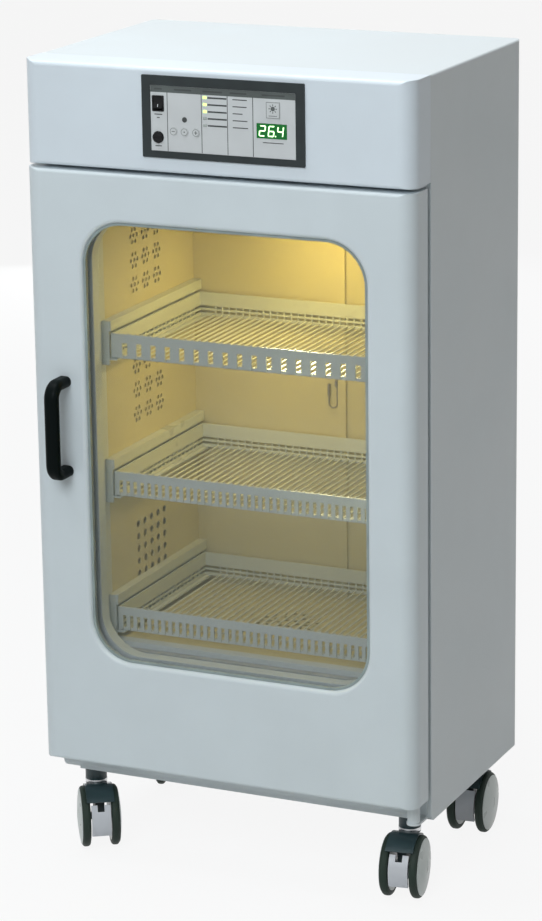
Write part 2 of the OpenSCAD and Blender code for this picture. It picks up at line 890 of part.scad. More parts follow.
module door_hinges() {
    color(white) union() {
        // lower tongue in front of the base, with its flange, its boss and its pin
        translate([0, 0, lower_z]) linear_extrude(tongue_t) tongue_plan(front_y);
        box([pivot_x - tongue_w / 2, front_y - hinge_flange, lower_z],
            [pivot_x + tongue_w / 2, front_y, lower_z + 24]);
        translate([pivot_x, pivot_y, lower_z]) cylinder(r = tongue_w / 2 - 1, h = door_z0 - 0.3 - lower_z);
        translate([pivot_x, pivot_y, lower_z + tongue_t])
            cylinder(r = pin_r, h = door_z0 + 12 - lower_z - tongue_t);
    }
    color(white) union() {
        // upper tongue in the gap under the head
        translate([0, 0, upper_z]) linear_extrude(tongue_t) tongue_plan(front_y);
        box([pivot_x - tongue_w / 2, front_y - hinge_flange, upper_z - 24],
            [pivot_x + tongue_w / 2, front_y, upper_z + eps]);
        translate([pivot_x, pivot_y, door_z1 - 14]) cylinder(r = pin_r, h = upper_z - door_z1 + 14 + eps);
    }
}

module window_outline(g) {
    pad([win_cx, win_cz], [window_w, window_h] - [2, 2] * g, window_r - g);
}

module door_form(g, back) {
    intersection() {
        translate([0, 0, door_z0 - past]) linear_extrude(door_z1 - door_z0 + 2 * past)
            rounded([-half_w + g, door_y + g], [half_w - g, back],
                    [corner_r - g, corner_r - g, 0, 0]);
        along_x(-half_w - past, body_w + 2 * past)
            rounded([door_y + g, door_z0 + g], [back, door_z1 - g],
                    [door_edge_r - g / 2, 0, 0, door_edge_r - g / 2]);
    }
}

bearing_h = 18;

// Section of the rolled edge: X runs outwards from the window, Y into the door
module roll_section() {
    intersection() {
        square(window_roll);
        translate([window_roll, window_roll]) difference() {
            circle(window_roll);
            circle(window_roll - door_wall);
        }
    }
    translate([0, window_roll]) square([door_wall, window_return - window_roll]);
}

// The rolled edge led round the window: four straight runs and four corners
module window_edge() {
    hw = window_w / 2 - window_r;
    hh = window_h / 2 - window_r;
    translate([win_cx, door_y, win_cz]) for (s = [0, 1]) {
        mirror([s, 0, 0]) translate([window_w / 2, 0, -hh]) linear_extrude(2 * hh) roll_section();
        mirror([0, 0, s]) translate([-hw, 0, -window_h / 2]) rotate([0, 90, 0])
            linear_extrude(2 * hw) roll_section();
        for (t = [0, 1])
            mirror([s, 0, 0]) mirror([0, 0, t]) translate([hw, 0, -hh]) rotate([-90, 0, 0])
                rotate_extrude(angle = 90) translate([window_r, 0]) roll_section();
    }
}

module door_panel() {
    color(white) difference() {
        union() {
            difference() {
                door_form(0, door_back_y);
                door_form(door_wall, door_back_y + past);
            }
            // bearing blocks for the hinge pins
            for (z = [door_z0 + 0.5, door_z1 - 0.5 - bearing_h])
                translate([pivot_x, pivot_y, z]) cylinder(r = pivot_side - 1, h = bearing_h);
        }
        along_y(door_y - past, window_return + 2 * past) window_outline(-window_roll);
        for (z = [door_z0 - 1, door_z1 + 1 - bearing_h])
            translate([pivot_x, pivot_y, z]) cylinder(r = pin_r + run_gap, h = bearing_h);
    }
    color(white) window_edge();
}

liner_gap = 0.2;
liner_sheet = 2;

module door_liner() {
    g = door_wall + liner_gap;
    color(white) difference() {
        union() {
            along_y(door_back_y - liner_sheet, liner_sheet)
                rounded([-half_w + g, door_z0 + g], [half_w - g, door_z1 - g], [0, 0, 0, 0]);
            along_y(glass_y + unit_t, door_back_y - glass_y - unit_t)
                window_outline(-liner_sheet);
            // lip that the glazing unit rests on
            along_y(glass_y + unit_t, 1.5) window_outline(-glass_margin + 1);
        }
        along_y(glass_y + unit_t - past, door_t) window_outline(0);
        // room for the bearing blocks
        for (z = [door_z0, door_z1])
            along_y(door_back_y - 2 * liner_sheet, 4 * liner_sheet)
                pad([half_w, z], [2 * (pivot_side + pivot_side), 2 * (bearing_h + 2)], 0);
    }
}

module glazing_unit() {
    color([0.75, 0.88, 0.85, 0.35]) {
        along_y(glass_y, pane_t) window_outline(-glass_margin);
        difference() {
            along_y(glass_y + pane_t, pane_gap) window_outline(-glass_margin);
            along_y(glass_y, unit_t) window_outline(-4);
        }
        along_y(glass_y + pane_t + pane_gap, pane_t) window_outline(-glass_margin);
    }
}

gasket_lip = 3.2;

module window_gasket() {
    color(dark) difference() {
        union() {
            along_y(door_y + window_return - 2.5, glass_y - door_y - window_return + 2.5)
                window_outline(0.1);
            along_y(door_y + window_return + 0.1, glass_y - door_y - window_return - 0.1)
                window_outline(-9);
        }
        along_y(door_y, 3 * past) window_outline(gasket_lip);
    }
}

module door_seal() {
    c = [0, (cham_z0 + cham_z1) / 2];
    color([0.80, 0.82, 0.83]) difference() {
        along_y(door_back_y, seal_t - 0.2) pad(c, [chamber_w + 46, chamber_h + 40], 6);
        along_y(door_back_y - 1, seal_t + 2) pad(c, [chamber_w + 18, chamber_h + 14], 3);
    }
}

// Section of the handle, grip_t across the bend and grip_w along the bend's axis
module grip_section() {
    pad([0, 0], [grip_t, grip_w], grip_r);
}

module door_handle() {
    hx = -half_w + handle_x;
    hz = door_z0 + handle_z;
    bend = handle_bend + grip_t / 2;
    run = handle_h - 2 * (handle_bend + grip_t);
    grip_y = door_y - handle_reach + grip_t / 2;
    color(dark) translate([hx, 0, hz]) union() {
        translate([0, grip_y, -run / 2]) linear_extrude(run) rotate(90) grip_section();
        for (s = [0, 1])
            mirror([0, 0, s]) {
                // elbow, its centre behind the grip
                translate([0, grip_y + bend, run / 2]) rotate([90, 0, -90])
                    rotate_extrude(angle = 90) translate([bend, 0]) grip_section();
                // foot that runs to the door
                along_y(grip_y + bend, door_y - grip_y - bend)
                    translate([0, run / 2 + bend]) rotate(90) grip_section();
            }
    }
}

// Comb at a basket's front: a rail with teeth that hang from it at a given pitch
module front_comb(z, pitch, slot) {
    n = floor((basket_hw - bar_t - slot / 2) / pitch);
    difference() {
        box([-basket_hw, basket_y0, z - basket_h + comb_lift], [basket_hw, basket_y0 + bar_t, z]);
        for (i = [-n:n])
            box([i * pitch - slot / 2, basket_y0 - 1, z - basket_h],
                [i * pitch + slot / 2, basket_y0 + bar_t + 1, z - rail_h]);
    }
}

// Wire basket whose rim lies at z
module basket(z, pitch, slot) {
    zb = z - basket_h;
    mid_y = (basket_y0 + basket_y1) / 2;
    n_front = floor((basket_hw - wire_pitch) / wire_pitch);
    n_side = floor((basket_y1 - basket_y0 - 2 * side_pitch) / side_pitch / 2);
    union() {
        // rims, middle bars and floor bars at the back and the sides
        for (band = [[z - rim_h, z], [zb + mid_bar_z, zb + mid_bar_z + mid_bar_h],
                     [zb, zb + floor_bar_h]]) {
            box([-basket_hw, basket_y1 - bar_t, band[0]], [basket_hw, basket_y1, band[1]]);
            for (s = [-1, 1])
                box([s > 0 ? basket_hw - bar_t : -basket_hw, basket_y0, band[0]],
                    [s > 0 ? basket_hw : -basket_hw + bar_t, basket_y1, band[1]]);
        }
        // comb at the front with a floor bar behind it
        front_comb(z, pitch, slot);
        box([-basket_hw, basket_y0 + bar_t, zb], [basket_hw, basket_y0 + 2 * bar_t, zb + floor_bar_h]);
        for (i = [-n_front:n_front - 1]) {
            x = (i + 0.5) * wire_pitch;
            // floor wire, and its upright behind the comb, which ends just above the rail
            translate([x, basket_y0 + 1, zb + 2]) rotate([-90, 0, 0])
                cylinder(r = wire_r, h = basket_y1 - basket_y0 - 2);
            translate([x, basket_y0 + bar_t - 0.3, zb + 2])
                cylinder(r = wire_r * 0.9, h = basket_h - 2 + wire_end);
            // upright at the back
            translate([x, basket_y1 - bar_t / 2, zb + 3])
                cylinder(r = wire_r * 0.9, h = basket_h - rim_h - 2);
        }
        // uprights at the sides
        for (s = [-1, 1], i = [-n_side:n_side])
            translate([s * (basket_hw - bar_t / 2), mid_y + i * side_pitch, zb + 3])
                cylinder(r = wire_r * 0.9, h = basket_h - rim_h - 2);
    }
}

module top_basket() {
    color(rail_grey) basket(basket_levels[2], 2 * wire_pitch, wide_slot);
}

module middle_basket() {
    color(rail_grey) basket(basket_levels[1], wire_pitch, narrow_slot);
}

module bottom_basket() {
    color(rail_grey) basket(basket_levels[0], wire_pitch, narrow_slot);
}

// Stands its children at caster i, with X along its trail
module at_caster(i) {
    translate([casters[i][0], casters[i][1], 0]) rotate([0, 0, casters[i][2]]) children();
}

stud_r = 4;
stud_low = head_top - 24;

module caster_stems() {
    color(dark)
        for (i = [0:3])
            at_caster(i) union() {
                translate([0, 0, head_top + 0.3]) cylinder(r = collar_r, h = base_z - head_top - 0.3);
                translate([0, 0, stud_low]) cylinder(r = stud_r, h = base_z - stud_low);
            }
}

plate_half = 6;
hood_half = wheel_side + 4.5;

// Centre plate, hood and swivel head, with X along the trail and the swivel at the origin
module fork_form() {
    difference() {
        union() {
            // centre plate between the wheels
            translate([0, plate_half, 0]) rotate([90, 0, 0]) linear_extrude(2 * plate_half) {
                translate([caster_trail, wheel_r]) circle(13);
                polygon([[-11, head_top - 8], [-11, head_top - 20], [caster_trail - 12, wheel_r - 6],
                         [caster_trail + 11, wheel_r + 7], [caster_trail + 20, wheel_r + 36.5],
                         [caster_trail + 12, wheel_r + 40], [caster_trail + 2, wheel_r + 41.8],
                         [11, head_top - 6]]);
            }
            // hood over the wheels
            translate([caster_trail, hood_half, wheel_r]) rotate([90, 0, 0]) rotate([0, 0, 44])
                rotate_extrude(angle = 84) translate([wheel_r + hood_gap, 0])
                    square([hood_r - wheel_r - hood_gap, 2 * hood_half]);
            // swivel head
            translate([0, 0, head_top - 11]) cylinder(r = collar_r, h = 11);
        }
        // bore for the stud and for the axle
        translate([0, 0, stud_low - 0.5]) cylinder(r = stud_r + run_gap, h = base_z);
        translate([caster_trail, 30, wheel_r]) rotate([90, 0, 0]) cylinder(r = axle_r + 0.02, h = 60);
    }
}

module axle() {
    translate([caster_trail, wheel_side + wheel_w - 4, wheel_r]) rotate([90, 0, 0])
        cylinder(r = axle_r, h = wheel_gap + 2 * wheel_w - 8);
}

// Curved plate between the wheels with two arms to the axle
module shield_form(notch) {
    w = wheel_gap - 2;
    difference() {
        union() {
            translate([caster_trail, w / 2, wheel_r]) rotate([90, 0, 0]) rotate([0, 0, -26])
                rotate_extrude(angle = 67) translate([wheel_r - 5.5, 0]) square([3, w]);
            for (s = [-1, 1])
                translate([caster_trail, s * 8.4 + 1.2, wheel_r]) rotate([90, 0, 0]) linear_extrude(2.4) {
                    circle(axle_r + 3);
                    polygon([[0, -6], [wheel_r - 4.6, -10.5], [wheel_r - 4.6, 10.5], [0, 6]]);
                }
        }
        translate([caster_trail, 30, wheel_r]) rotate([90, 0, 0]) cylinder(r = axle_r + run_gap, h = 60);
        if (notch)
            translate([caster_trail, 4.5, wheel_r]) rotate([90, 0, 0]) rotate([0, 0, 27])
                rotate_extrude(angle = 24) translate([wheel_r - 8, 0]) square([10, 9]);
    }
}

module front_fork(i) {
    color(dark) at_caster(i) {
        fork_form();
        axle();
    }
}

// The rear casters have no brake, so their shield is fixed
module rear_fork(i) {
    color(dark) at_caster(i) {
        fork_form();
        axle();
    }
    color(white) at_caster(i) shield_form(false);
}

module caster_fork_fl() {
    front_fork(0);
}

module caster_fork_fr() {
    front_fork(1);
}

module caster_fork_rl() {
    rear_fork(2);
}

module caster_fork_rr() {
    rear_fork(3);
}

module brake_pedal_fl() {
    color(white) at_caster(0) shield_form(true);
}

module brake_pedal_fr() {
    color(white) at_caster(1) shield_form(true);
}

tread_r = 4;
tyre_t = 6.5;
// How far the hub's cap laps over the tyre and how far it bulges
cap_lap = 3;
cap_bulge = 3.5;

cap_r = wheel_r - tyre_t + cap_lap;
dome_r = (cap_r * cap_r + cap_bulge * cap_bulge) / (2 * cap_bulge);

// One wheel of a pair, s is 1 or -1 for its side
module wheel(i, s) {
    at_caster(i) translate([caster_trail, 0, wheel_r]) rotate([s > 0 ? -90 : 90, 0, 0])
        translate([0, 0, wheel_side]) {
            // hub with its closed and domed cap
            color(white) rotate_extrude() {
                difference() {
                    union() {
                        square([wheel_r - tyre_t - 0.1, wheel_w - cap_bulge - 0.5]);
                        intersection() {
                            translate([0, wheel_w - cap_bulge - 0.5]) square([cap_r, cap_bulge + 0.5]);
                            translate([0, wheel_w - dome_r]) circle(dome_r, $fn = 360);
                        }
                    }
                    translate([-1, -1]) square([axle_r + run_gap + 1, wheel_w - 2.5]);
                }
            }
            // tyre
            color(dark) rotate_extrude()
                rounded([wheel_r - tyre_t, 0], [wheel_r, wheel_w - cap_bulge - 0.6],
                        [0, tread_r, tread_r, 0]);
        }
}

module wheel_fl_inner() {
    wheel(0, 1);
}

module wheel_fl_outer() {
    wheel(0, -1);
}

module wheel_fr_inner() {
    wheel(1, -1);
}

module wheel_fr_outer() {
    wheel(1, 1);
}

module wheel_rl_inner() {
    wheel(2, 1);
}

module wheel_rl_outer() {
    wheel(2, -1);
}

module wheel_rr_inner() {
    wheel(3, -1);
}

module wheel_rr_outer() {
    wheel(3, 1);
}

left_side_panel();
right_side_panel();
top_panel();
back_panel();
base_tray();
front_frame();
control_fascia();
left_duct_wall();
right_duct_wall();
chamber_back_wall();
chamber_ceiling();
chamber_floor();
insulation();
basket_runners();
heater_element();
fan_motor();
fan_impeller();
temperature_sensor();
chamber_lamp();
instrument_tray();
power_supply();
control_board();
panel_bezel();
panel_plate();
display_window();
indicator_leds();
switch_housing();
rocker_switch();
fuse_holder();
fuse_cap();
key_minus();
key_set();
key_plus();
lamp_key();
mains_inlet();
door_hinges();
door_panel();
door_liner();
glazing_unit();
window_gasket();
door_seal();
door_handle();
top_basket();
middle_basket();
bottom_basket();
caster_stems();
caster_fork_fl();
caster_fork_fr();
caster_fork_rl();
caster_fork_rr();
brake_pedal_fl();
brake_pedal_fr();
wheel_fl_inner();
wheel_fl_outer();
wheel_fr_inner();
wheel_fr_outer();
wheel_rl_inner();
wheel_rl_outer();
wheel_rr_inner();
wheel_rr_outer();
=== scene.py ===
import json
import math
import bmesh
import bpy
from mathutils import Matrix, Vector
from mathutils.bvhtree import BVHTree


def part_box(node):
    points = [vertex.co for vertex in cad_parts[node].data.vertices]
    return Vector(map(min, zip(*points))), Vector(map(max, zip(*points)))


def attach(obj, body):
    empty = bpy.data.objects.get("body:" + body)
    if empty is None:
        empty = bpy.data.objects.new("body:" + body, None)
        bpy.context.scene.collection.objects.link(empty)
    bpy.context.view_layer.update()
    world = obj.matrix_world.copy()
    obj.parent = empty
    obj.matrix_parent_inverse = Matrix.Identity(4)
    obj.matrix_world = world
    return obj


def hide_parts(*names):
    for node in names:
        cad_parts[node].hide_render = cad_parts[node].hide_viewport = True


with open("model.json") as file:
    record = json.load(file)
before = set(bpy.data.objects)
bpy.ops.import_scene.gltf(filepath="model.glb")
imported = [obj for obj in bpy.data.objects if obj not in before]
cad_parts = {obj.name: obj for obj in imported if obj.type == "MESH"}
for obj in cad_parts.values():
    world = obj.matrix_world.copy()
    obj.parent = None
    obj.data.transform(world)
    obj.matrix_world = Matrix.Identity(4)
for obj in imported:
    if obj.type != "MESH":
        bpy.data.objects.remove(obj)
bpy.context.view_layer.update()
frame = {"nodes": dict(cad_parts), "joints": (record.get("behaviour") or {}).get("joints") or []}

# Camera where the photographer stood: to the right of the cabinet and above its top,
# with a long lens that looks down at the middle of the glass door.
camera_place = (1.7252, -3.7526, 1.6698)
yaw, pitch, roll = math.radians(-24.735), math.radians(-15.599), math.radians(-0.815)
look = Vector((math.sin(yaw) * math.cos(pitch), math.cos(yaw) * math.cos(pitch),
               math.sin(pitch)))
level = Vector((math.cos(yaw), -math.sin(yaw), 0))
right = level * math.cos(roll) + level.cross(look) * math.sin(roll)
photo_lens = bpy.data.cameras.new("photo_camera")
photo_lens.lens = 131.0
photo_lens.sensor_width = 36
photo_camera = bpy.data.objects.new("photo_camera", photo_lens)
turn = Matrix((right, right.cross(look), -look)).transposed()
photo_camera.matrix_world = Matrix.Translation(camera_place) @ turn.to_4x4()
bpy.context.scene.collection.objects.link(photo_camera)
bpy.context.scene.camera = photo_camera
bpy.context.scene.view_settings.view_transform = "Standard"


# Studio floor: pale and matt, so that it keeps the cabinet's shadow. To the camera, and
# to glossy faces and glass, it shows mostly as the white background.
def background_rays(tree):
    """1 for the rays that see the background: from the camera, off gloss, through glass."""
    path = tree.nodes.new("ShaderNodeLightPath")
    seen = path.outputs["Is Camera Ray"]
    for kind in ("Is Glossy Ray", "Is Transmission Ray"):
        either = tree.nodes.new("ShaderNodeMath")
        either.operation = "MAXIMUM"
        tree.links.new(seen, either.inputs[0])
        tree.links.new(path.outputs[kind], either.inputs[1])
        seen = either.outputs[0]
    return seen


floor_half_side = 30
floor_mesh = bmesh.new()
bmesh.ops.create_grid(floor_mesh, x_segments=2, y_segments=2, size=floor_half_side)
floor_data = bpy.data.meshes.new("studio_floor")
floor_mesh.to_mesh(floor_data)
floor_mesh.free()
studio_floor = bpy.data.objects.new("studio_floor", floor_data)
bpy.context.scene.collection.objects.link(studio_floor)
floor_paint = bpy.data.materials.new("studio_floor_paint")
floor_paint.use_nodes = True
floor_tree = floor_paint.node_tree
floor_base = floor_tree.nodes["Principled BSDF"]
floor_base.inputs["Base Color"].default_value = (0.60, 0.62, 0.63, 1)
floor_base.inputs["Roughness"].default_value = 0.9
floor_glow = floor_tree.nodes.new("ShaderNodeEmission")
floor_glow.inputs["Color"].default_value = (1, 1, 1, 1)
white_share = floor_tree.nodes.new("ShaderNodeMath")
white_share.operation = "MULTIPLY"
white_share.inputs[1].default_value = 0.90
floor_mix = floor_tree.nodes.new("ShaderNodeMixShader")
floor_tree.links.new(background_rays(floor_tree), white_share.inputs[0])
floor_tree.links.new(white_share.outputs[0], floor_mix.inputs[0])
floor_tree.links.new(floor_base.outputs[0], floor_mix.inputs[1])
floor_tree.links.new(floor_glow.outputs[0], floor_mix.inputs[2])
floor_tree.links.new(floor_mix.outputs[0], floor_tree.nodes["Material Output"].inputs[0])
floor_data.materials.append(floor_paint)

# Studio surround: a weak, slightly warm light from all round, which shows as plain
# white where the background is seen.
surround = bpy.data.worlds.new("studio_surround")
bpy.context.scene.world = surround
surround.use_nodes = True
sky = surround.node_tree
soft_sky = sky.nodes["Background"]
soft_sky.inputs["Color"].default_value = (1.0, 0.975, 0.90, 1)
soft_sky.inputs["Strength"].default_value = 0.155
seen_sky = sky.nodes.new("ShaderNodeBackground")
seen_sky.inputs["Color"].default_value = (1, 1, 1, 1)
seen_sky.inputs["Strength"].default_value = 1.0
sky_mix = sky.nodes.new("ShaderNodeMixShader")
sky.links.new(background_rays(sky), sky_mix.inputs[0])
sky.links.new(soft_sky.outputs[0], sky_mix.inputs[1])
sky.links.new(seen_sky.outputs[0], sky_mix.inputs[2])
sky.links.new(sky_mix.outputs[0], sky.nodes["World Output"].inputs["Surface"])


# Studio lamps: four square softboxes. The main one is high in front and one hangs
# overhead, so the top is the brightest face and the right side is in shade.
def new_lamp(name, kind, color, power):
    """The light of a lamp, before it is hung."""
    light = bpy.data.lights.new(name, kind)
    light.color = color
    light.energy = power
    return light


def hang_lamp(light, place, aim=None):
    """Hangs a lamp in its place. One with an aim is turned to face it."""
    lamp = bpy.data.objects.new(light.name, light)
    lamp.location = place
    if aim is not None:
        lamp.rotation_mode = "QUATERNION"
        lamp.rotation_quaternion = (Vector(aim) - Vector(place)).to_track_quat("-Z", "Y")
    bpy.context.scene.collection.objects.link(lamp)
    return lamp


for name, place, aim, side, power, color in (
        ("softbox_front", (0.2, -3.2, 2.8), (0, 0, 0.75), 1.6, 71, (0.90, 0.965, 1.0)),
        ("softbox_over", (-0.5, -0.1, 3.2), (0, 0.1, 1.0), 1.6, 45, (0.92, 0.975, 1.0)),
        ("softbox_back", (-1.7, 3.2, 0.55), (0, 0, 0.5), 0.95, 16, (0.97, 0.985, 1.0)),
        ("softbox_side", (3.6, 0.8, 0.8), (0, 0, 0.2), 2.0, 2, (1.0, 0.96, 0.88))):
    softbox = new_lamp(name, "AREA", color, power)
    softbox.shape = "SQUARE"
    softbox.size = side
    hang_lamp(softbox, place, aim)


# Housing: folded steel sheet, powder coated in a cool white. Two sides with folded
# flanges, top, back, base and front frame are screwed together behind the flanges.
def new_finish(name):
    """A bare finish: the material, its nodes, its shader and the place on the piece."""
    mat = bpy.data.materials.new(name)
    mat.use_nodes = True
    tree = mat.node_tree
    place = tree.nodes.new("ShaderNodeTexCoord").outputs["Object"]
    return mat, tree, tree.nodes["Principled BSDF"], place


def speckle(tree, place, scale, detail=2):
    """Noise over a piece: a low scale gives clouds, a high one gives grain."""
    noise = tree.nodes.new("ShaderNodeTexNoise")
    noise.inputs["Scale"].default_value = scale
    noise.inputs["Detail"].default_value = detail
    tree.links.new(place, noise.inputs["Vector"])
    return noise.outputs["Fac"]


def tint(tree, base, noise, dark, light, start=0.0, end=1.0):
    """Colours a finish from its dark tone to its light one, as the noise goes."""
    tones = tree.nodes.new("ShaderNodeValToRGB")
    for stop, position, tone in zip(tones.color_ramp.elements, (start, end), (dark, light)):
        stop.position = position
        stop.color = (*tone, 1)
    tree.links.new(noise, tones.inputs["Fac"])
    tree.links.new(tones.outputs["Color"], base.inputs["Base Color"])


def toned(color, share):
    """A colour made a little darker or lighter."""
    return [min(1, c * share) for c in color]


def vary_gloss(tree, base, noise, low, high, start=0.3, end=0.7):
    """Lets the roughness wander from low to high, as the noise goes."""
    gloss = tree.nodes.new("ShaderNodeMapRange")
    for socket, value in (("From Min", start), ("From Max", end),
                          ("To Min", low), ("To Max", high)):
        gloss.inputs[socket].default_value = value
    tree.links.new(noise, gloss.inputs["Value"])
    tree.links.new(gloss.outputs["Result"], base.inputs["Roughness"])


def emboss(tree, base, noise, strength, depth, edge=0.0):
    """Raises the noise a little out of the surface, and softens edges by a radius."""
    bump = tree.nodes.new("ShaderNodeBump")
    bump.inputs["Strength"].default_value = strength
    bump.inputs["Distance"].default_value = depth
    tree.links.new(noise, bump.inputs["Height"])
    if edge:
        round_edge = tree.nodes.new("ShaderNodeBevel")
        round_edge.inputs["Radius"].default_value = edge
        tree.links.new(round_edge.outputs["Normal"], bump.inputs["Normal"])
    tree.links.new(bump.outputs["Normal"], base.inputs["Normal"])


def powder_coat(name, color, rough=0.38, peel=0.10, edge=0.0006):
    """Powder coat: a slight orange peel, a faint cloudiness, softened sheet edges."""
    mat, tree, base, place = new_finish(name)
    clouds = speckle(tree, place, 9, 3)
    tint(tree, base, clouds, toned(color, 0.965), toned(color, 1.015), 0.3, 0.7)
    vary_gloss(tree, base, clouds, rough - 0.05, rough + 0.06)
    emboss(tree, base, speckle(tree, place, 620), peel, 0.0003, edge)
    return mat


def finish_node(mat, *names):
    """Gives CAD nodes their material and smooth curved faces."""
    for name in names:
        node = frame["nodes"][name].data
        node.materials.clear()
        node.materials.append(mat)
        node.shade_smooth()
        node.set_sharp_from_angle(angle=math.radians(32))


housing_paint = powder_coat("housing_powder_coat", (0.70, 0.75, 0.775))
finish_node(housing_paint, "left_side_panel", "right_side_panel", "top_panel", "back_panel",
            "base_tray", "front_frame")


# Screws of the back panel: flat zinc plated heads with softened edges, down both sides
# and by twos along the top and the bottom.
def show_piece(name, mesh, mats, body, slot, smooth):
    """Stands a bmesh in the scene as a piece that rides on a body."""
    data = bpy.data.meshes.new(name)
    mesh.to_mesh(data)
    mesh.free()
    for mat in mats:
        data.materials.append(mat)
    data.shade_smooth()
    data.set_sharp_from_angle(angle=math.radians(smooth))
    piece = bpy.data.objects.new(name, data)
    bpy.context.scene.collection.objects.link(piece)
    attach(piece, body)
    return piece


def new_piece(name, mesh, mat, body, slot, smooth=35):
    """Merges a new mesh's doubles, turns its faces outwards and shows it."""
    bmesh.ops.remove_doubles(mesh, verts=mesh.verts, dist=0.000001)
    bmesh.ops.recalc_face_normals(mesh, faces=mesh.faces)
    return show_piece(name, mesh, [mat], body, slot, smooth)


def disc(mesh, place, radius, depth, axis=(0, 1, 0), edge=0.0, steps=24):
    """A short round slug, its middle at the given place, its rims softened by edge."""
    corners = bmesh.ops.create_cone(mesh, cap_ends=True, segments=steps, radius1=radius,
                                    radius2=radius, depth=depth)["verts"]
    rims = dict.fromkeys(e for v in corners for e in v.link_edges
                         if len(e.link_faces) == 2 and e.calc_face_angle() > 1)
    bmesh.ops.rotate(mesh, verts=corners, cent=(0, 0, 0),
                     matrix=Vector((0, 0, 1)).rotation_difference(Vector(axis)).to_matrix())
    bmesh.ops.translate(mesh, verts=corners, vec=place)
    if edge:
        bmesh.ops.bevel(mesh, geom=list(rims), offset=edge, segments=2, profile=0.5,
                        affect="EDGES", material=-1)


def plated_steel(name, color, rough):
    """Bright metal with fine streaks in its gloss."""
    mat, tree, base, place = new_finish(name)
    base.inputs["Metallic"].default_value = 1.0
    base.inputs["Base Color"].default_value = (*color, 1)
    streaks = tree.nodes.new("ShaderNodeMapping")
    streaks.inputs["Scale"].default_value = (30, 900, 900)
    tree.links.new(place, streaks.inputs["Vector"])
    grain = speckle(tree, streaks.outputs["Vector"], 1)
    vary_gloss(tree, base, grain, rough - 0.08, rough + 0.12, 0.0, 1.0)
    emboss(tree, base, grain, 0.08, 0.0001)
    return mat


zinc = plated_steel("zinc_plate", (0.66, 0.67, 0.68), 0.35)
head_radius, head_thick, head_edge, head_lift = 0.0035, 0.0014, 0.0005, 0.0006
back_low, back_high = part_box("back_panel")
back_tall = back_high.z - back_low.z
screw_places = [(x, back_low.z + back_tall * share)
                for x in (-0.226, 0.226) for share in (0.03, 0.27, 0.5, 0.73, 0.97)]
screw_places += [(x, z) for x in (-0.11, 0.11)
                 for z in (back_low.z + 0.010, back_high.z - 0.010)]
screws = bmesh.new()
for x, z in screw_places:
    disc(screws, (x, back_high.y + head_lift, z), head_radius, head_thick, edge=head_edge)
new_piece("back_screws", screws, zinc, "cabinet", "steel")

# Head: a moulded cover in the same white, which carries the control panel and
# hangs on four bosses in front of the frame.
head_paint = powder_coat("head_moulding", (0.745, 0.81, 0.87), 0.34, 0.06, 0.0012)
finish_node(head_paint, "control_fascia")

# Door: an outer pan of pressed sheet with a rolled edge round the window, and an
# inner liner that carries the glass and the seal.
door_paint = powder_coat("door_powder_coat", (0.70, 0.762, 0.795), 0.36, 0.08, 0.0015)
finish_node(door_paint, "door_panel", "door_liner")


# Handle: a black moulded bow with soft corners, screwed on from inside the door.
# Its surface is matt, with hardly any shine.
def moulded(name, color, rough, grain_size=1400, strength=0.12, wear=1.0, shine=0.5):
    """Moulded plastic or rubber: a fine spark-eroded grain, tones and gloss from wear."""
    mat, tree, base, place = new_finish(name)
    base.inputs["Specular IOR Level"].default_value = shine
    rub = speckle(tree, place, 35)
    tint(tree, base, rub, toned(color, 1 - 0.12 * wear), toned(color, 1 + 0.10 * wear),
         0.35, 0.68)
    vary_gloss(tree, base, rub, rough - 0.06, rough + 0.08)
    emboss(tree, base, speckle(tree, place, grain_size), strength, 0.0002)
    return mat


finish_node(moulded("handle_black", (0.002, 0.0045, 0.0045), 0.40, shine=0.05), "door_handle")


# Glazing: two panes of float glass with rounded corners, on an aluminium spacer. The
# unit is pressed between the gasket and the liner.
def rounded_outline(mesh, low, high, y, corner, inset=0.0, steps=10):
    """Points round a rectangle with rounded corners, set in from its edge."""
    radius = corner - inset
    x0, z0, x1, z1 = low.x + corner, low.z + corner, high.x - corner, high.z - corner
    outline = []
    for x, z, start in ((x1, z1, 0), (x0, z1, 90), (x0, z0, 180), (x1, z0, 270)):
        for i in range(steps + 1):
            a = math.radians(start + 90 * i / steps)
            outline.append(mesh.verts.new((x + radius * math.cos(a), y, z + radius * math.sin(a))))
    return outline


def raise_faces(mesh, faces, lift):
    """Extrudes flat faces into a solid."""
    raised = bmesh.ops.extrude_face_region(mesh, geom=faces)
    moved = [v for v in raised["geom"] if isinstance(v, bmesh.types.BMVert)]
    bmesh.ops.translate(mesh, verts=moved, vec=lift)


float_glass, glass_tree, glass_base, glass_place = new_finish("float_glass")
for socket, value in (("Base Color", (0.17, 0.21, 0.19, 1)), ("Roughness", 0.03), ("Alpha", 0.10),
                      ("Specular IOR Level", 0.6)):
    glass_base.inputs[socket].default_value = value
emboss(glass_tree, glass_base, speckle(glass_tree, glass_place, 6), 0.05, 0.0005)
pane_thick, glass_corner = 0.004, 0.066
unit_low, unit_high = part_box("glazing_unit")
for name, front in (("pane_front", unit_low.y), ("pane_rear", unit_high.y - pane_thick)):
    pane = bmesh.new()
    face = pane.faces.new(rounded_outline(pane, unit_low, unit_high, front, glass_corner))
    raise_faces(pane, [face], (0, pane_thick, 0))
    pane_piece = new_piece(name, pane, float_glass, "door", "pane")
    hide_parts("glazing_unit")

